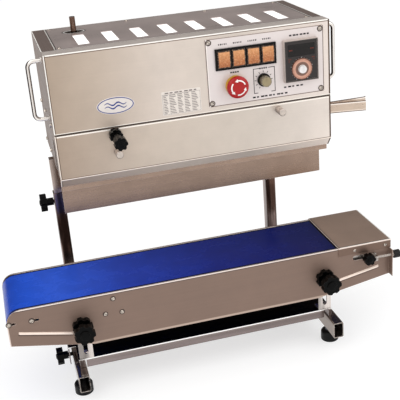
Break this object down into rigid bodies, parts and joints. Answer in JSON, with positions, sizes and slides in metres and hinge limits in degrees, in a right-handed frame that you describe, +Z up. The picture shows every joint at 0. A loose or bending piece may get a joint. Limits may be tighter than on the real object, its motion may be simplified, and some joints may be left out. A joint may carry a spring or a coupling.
{
  "type": "continuous band sealer",
  "caption": "Free-standing vertical band sealer: a box head with controls, sealing bands and a slotted lid over a height-adjustable belt conveyor on a footed steel base.",
  "frame": {"origin": "on the floor, at the bottom centre of the bounding box", "axes": "+X along the conveyor towards its covered tail end (the infeed side), +Y to the back, +Z up; the controls face -Y"},
  "size_m": [0.8401, 0.4746, 0.685],
  "materials": {
    "stainless_warm": "brushed",
    "stainless_dark": "brushed",
    "stainless_polished": "polished",
    "panel_silver": "satin",
    "knob_black": "semi-matt",
    "belt_blue": "glossy coated belt",
    "rocker_amber": "translucent lit",
    "estop_red": "gloss",
    "estop_yellow": "gloss",
    "controller_black": "matt",
    "dial_copper": "satin",
    "knob_metal": "turned",
    "liner_white": "matt",
    "band_ptfe": "coated glass cloth",
    "block_brass": "machined",
    "block_alu": "machined",
    "wheel_steel": "turned",
    "gearmotor_grey": "painted",
    "roller_steel": "turned",
    "foot_rubber": "moulded rubber on a steel stud"
  },
  "bodies": {
    "base": {"cross_leg_left": "stainless_polished", "cross_leg_right": "stainless_polished", "post_sleeves": "stainless_polished"},
    "cross_slide": {"base_tie": "stainless_polished", "clamp_brackets": "stainless_polished"},
    "conveyor": {"conveyor_panel_front": "stainless_dark", "conveyor_panel_rear": "stainless_dark", "conveyor_bed": "stainless_dark", "conveyor_belt": "belt_blue", "end_cover": "stainless_dark"},
    "head": {"head_posts": "stainless_polished", "front_panel": "stainless_warm", "control_plate": "panel_silver", "switch_frame": "controller_black", "estop_ring": "estop_yellow", "controller": "controller_black", "side_panel_left": "stainless_dark", "side_panel_right": "stainless_dark", "rear_cover": "stainless_warm", "lid": "stainless_dark", "vent_liner": "liner_white", "carry_handles": "stainless_polished", "front_cover": "stainless_warm", "cover_nuts": "stainless_polished", "inner_guard": "stainless_polished", "mounting_plate": "stainless_polished", "gearmotor": "gearmotor_grey", "sealing_bands": "band_ptfe", "heater_blocks": "block_brass", "cooler_blocks": "block_alu", "infeed_guides": "stainless_polished"},
    "foot_front_left": {"foot_front_left": "foot_rubber"},
    "foot_front_right": {"foot_front_right": "foot_rubber"},
    "foot_rear_left": {"foot_rear_left": "foot_rubber"},
    "foot_rear_right": {"foot_rear_right": "foot_rubber"},
    "base_lock_knob": {"base_lock_knob": "knob_black"},
    "post_lock_knob": {"post_lock_knob": "knob_black"},
    "drive_roller": {"drive_roller": "roller_steel"},
    "tail_roller": {"tail_roller": "roller_steel"},
    "tension_carriage": {"tension_carriage": "stainless_polished"},
    "tension_screw": {"tension_screw": "knob_black"},
    "tail_lock_knob": {"tail_lock_knob": "knob_black"},
    "conveyor_knob_left": {"conveyor_knob_left": "knob_black"},
    "conveyor_knob_right": {"conveyor_knob_right": "knob_black"},
    "rocker_1": {"rocker_1": "rocker_amber"},
    "rocker_2": {"rocker_2": "rocker_amber"},
    "rocker_3": {"rocker_3": "rocker_amber"},
    "rocker_4": {"rocker_4": "rocker_amber"},
    "estop_button": {"estop_button": "estop_red"},
    "speed_knob": {"speed_knob": "knob_metal"},
    "temp_dial": {"temp_dial": "dial_copper"},
    "drive_shaft": {"drive_shaft": "wheel_steel"},
    "band_wheel_front_drive": {"band_wheel_front_drive": "wheel_steel"},
    "band_wheel_rear_drive": {"band_wheel_rear_drive": "wheel_steel"},
    "band_wheel_front_idle": {"band_wheel_front_idle": "wheel_steel"},
    "band_wheel_rear_idle": {"band_wheel_rear_idle": "wheel_steel"},
    "press_wheel_front": {"press_wheel_front": "wheel_steel"},
    "press_wheel_rear": {"press_wheel_rear": "wheel_steel"},
    "press_carriage": {"press_carriage": "wheel_steel"},
    "pressure_knob": {"pressure_knob": "knob_black"}
  },
  "joints": [
    {"name": "level_front_left", "type": "slide", "parent": "base", "child": "foot_front_left", "axis": [0, 0, 1], "range_m": [-0.01, 0]},
    {"name": "level_front_right", "type": "slide", "parent": "base", "child": "foot_front_right", "axis": [0, 0, 1], "range_m": [-0.01, 0]},
    {"name": "level_rear_left", "type": "slide", "parent": "base", "child": "foot_rear_left", "axis": [0, 0, 1], "range_m": [-0.01, 0]},
    {"name": "level_rear_right", "type": "slide", "parent": "base", "child": "foot_rear_right", "axis": [0, 0, 1], "range_m": [-0.01, 0]},
    {"name": "conveyor_cross_slide", "type": "slide", "parent": "base", "child": "cross_slide", "axis": [0, 1, 0], "range_m": [-0.02, 0.02]},
    {"name": "cross_lock_turn", "type": "hinge", "parent": "cross_slide", "child": "base_lock_knob", "pos_m": [-0.30393, -0.11925, 0.056], "axis": [1, 0, 0], "range_deg": [-180, 180]},
    {"name": "conveyor_height", "type": "slide", "parent": "cross_slide", "child": "conveyor", "axis": [0, 0, 1], "range_m": [0, 0.02]},
    {"name": "conveyor_lock_left_turn", "type": "hinge", "parent": "conveyor", "child": "conveyor_knob_left", "pos_m": [-0.27963, -0.19395, 0.1588], "axis": [0, 1, 0], "range_deg": [-180, 180]},
    {"name": "conveyor_lock_right_turn", "type": "hinge", "parent": "conveyor", "child": "conveyor_knob_right", "pos_m": [0.22278, -0.19395, 0.1588], "axis": [0, 1, 0], "range_deg": [-180, 180]},
    {"name": "drive_roller_spin", "type": "hinge", "parent": "conveyor", "child": "drive_roller", "pos_m": [-0.39253, -0.11125, 0.1894], "axis": [0, 1, 0], "continuous": true},
    {"name": "tail_tension", "type": "slide", "parent": "conveyor", "child": "tension_carriage", "axis": [1, 0, 0], "range_m": [-0.00375, 0]},
    {"name": "tail_roller_spin", "type": "hinge", "parent": "tension_carriage", "child": "tail_roller", "pos_m": [0.31567, -0.11125, 0.1894], "axis": [0, 1, 0], "continuous": true},
    {"name": "tail_lock_turn", "type": "hinge", "parent": "tension_carriage", "child": "tail_lock_knob", "pos_m": [0.31567, -0.20125, 0.1894], "axis": [0, 1, 0], "range_deg": [-180, 180]},
    {"name": "tension_screw_turn", "type": "hinge", "parent": "conveyor", "child": "tension_screw", "pos_m": [0.35008, -0.20225, 0.1864], "axis": [1, 0, 0], "range_deg": [-1080, 0]},
    {"name": "head_height", "type": "slide", "parent": "base", "child": "head", "axis": [0, 0, 1], "range_m": [0, 0.03]},
    {"name": "post_lock_turn", "type": "hinge", "parent": "base", "child": "post_lock_knob", "pos_m": [-0.28992, 0.11875, 0.301], "axis": [1, 0, 0], "range_deg": [-180, 180]},
    {"name": "rocker_1_tilt", "type": "hinge", "parent": "head", "child": "rocker_1", "pos_m": [0.08286, -0.03425, 0.60065], "axis": [1, 0, 0], "range_deg": [-6, 6]},
    {"name": "rocker_2_tilt", "type": "hinge", "parent": "head", "child": "rocker_2", "pos_m": [0.11364, -0.03425, 0.60065], "axis": [1, 0, 0], "range_deg": [-6, 6]},
    {"name": "rocker_3_tilt", "type": "hinge", "parent": "head", "child": "rocker_3", "pos_m": [0.14441, -0.03425, 0.60065], "axis": [1, 0, 0], "range_deg": [-6, 6]},
    {"name": "rocker_4_tilt", "type": "hinge", "parent": "head", "child": "rocker_4", "pos_m": [0.17519, -0.03425, 0.60065], "axis": [1, 0, 0], "range_deg": [-6, 6]},
    {"name": "estop_press", "type": "slide", "parent": "head", "child": "estop_button", "axis": [0, 1, 0], "range_m": [0, 0.004], "stiffness_N_per_m": 400},
    {"name": "speed_turn", "type": "hinge", "parent": "head", "child": "speed_knob", "pos_m": [0.16467, -0.03125, 0.5475], "axis": [0, 1, 0], "range_deg": [-150, 150]},
    {"name": "temperature_turn", "type": "hinge", "parent": "head", "child": "temp_dial", "pos_m": [0.24407, -0.04475, 0.562], "axis": [0, 1, 0], "range_deg": [-150, 150]},
    {"name": "drive_shaft_spin", "type": "hinge", "parent": "head", "child": "drive_shaft", "pos_m": [-0.18493, 0.17375, 0.6], "axis": [0, 0, 1], "continuous": true},
    {"name": "band_rear_drive_spin", "type": "hinge", "parent": "head", "child": "band_wheel_rear_drive", "pos_m": [-0.18493, 0.0418, 0.445], "axis": [0, 0, 1], "continuous": true},
    {"name": "band_front_drive_spin", "type": "hinge", "parent": "head", "child": "band_wheel_front_drive", "pos_m": [-0.18493, -0.0003, 0.445], "axis": [0, 0, 1], "continuous": true},
    {"name": "band_front_idle_spin", "type": "hinge", "parent": "head", "child": "band_wheel_front_idle", "pos_m": [0.24507, -0.0003, 0.445], "axis": [0, 0, 1], "continuous": true},
    {"name": "band_rear_idle_spin", "type": "hinge", "parent": "head", "child": "band_wheel_rear_idle", "pos_m": [0.24507, 0.0418, 0.445], "axis": [0, 0, 1], "continuous": true},
    {"name": "pressure_turn", "type": "hinge", "parent": "head", "child": "pressure_knob", "pos_m": [-0.15043, -0.06125, 0.4792], "axis": [0, 1, 0], "range_deg": [-720, 0]},
    {"name": "press_slide", "type": "slide", "parent": "head", "child": "press_carriage", "axis": [0, 1, 0], "range_m": [-0.002, 0]},
    {"name": "press_front_spin", "type": "hinge", "parent": "press_carriage", "child": "press_wheel_front", "pos_m": [-0.15043, 0.00625, 0.445], "axis": [0, 0, 1], "continuous": true},
    {"name": "press_rear_spin", "type": "hinge", "parent": "head", "child": "press_wheel_rear", "pos_m": [-0.15043, 0.0352, 0.445], "axis": [0, 0, 1], "continuous": true}
  ],
  "couplings": [
    {"joint": "tail_roller_spin", "follows": "drive_roller_spin", "ratio": 1},
    {"joint": "tension_screw_turn", "follows": "tail_tension", "rad_per_m": 5026.5},
    {"joint": "pressure_turn", "follows": "press_slide", "rad_per_m": 6283.2},
    {"joint": "band_rear_drive_spin", "follows": "drive_shaft_spin", "ratio": 1},
    {"joint": "band_front_drive_spin", "follows": "drive_shaft_spin", "ratio": -1},
    {"joint": "band_front_idle_spin", "follows": "drive_shaft_spin", "ratio": -1},
    {"joint": "band_rear_idle_spin", "follows": "drive_shaft_spin", "ratio": 1},
    {"joint": "press_front_spin", "follows": "drive_shaft_spin", "ratio": -1.4925},
    {"joint": "press_rear_spin", "follows": "drive_shaft_spin", "ratio": 1.4925}
  ]
}
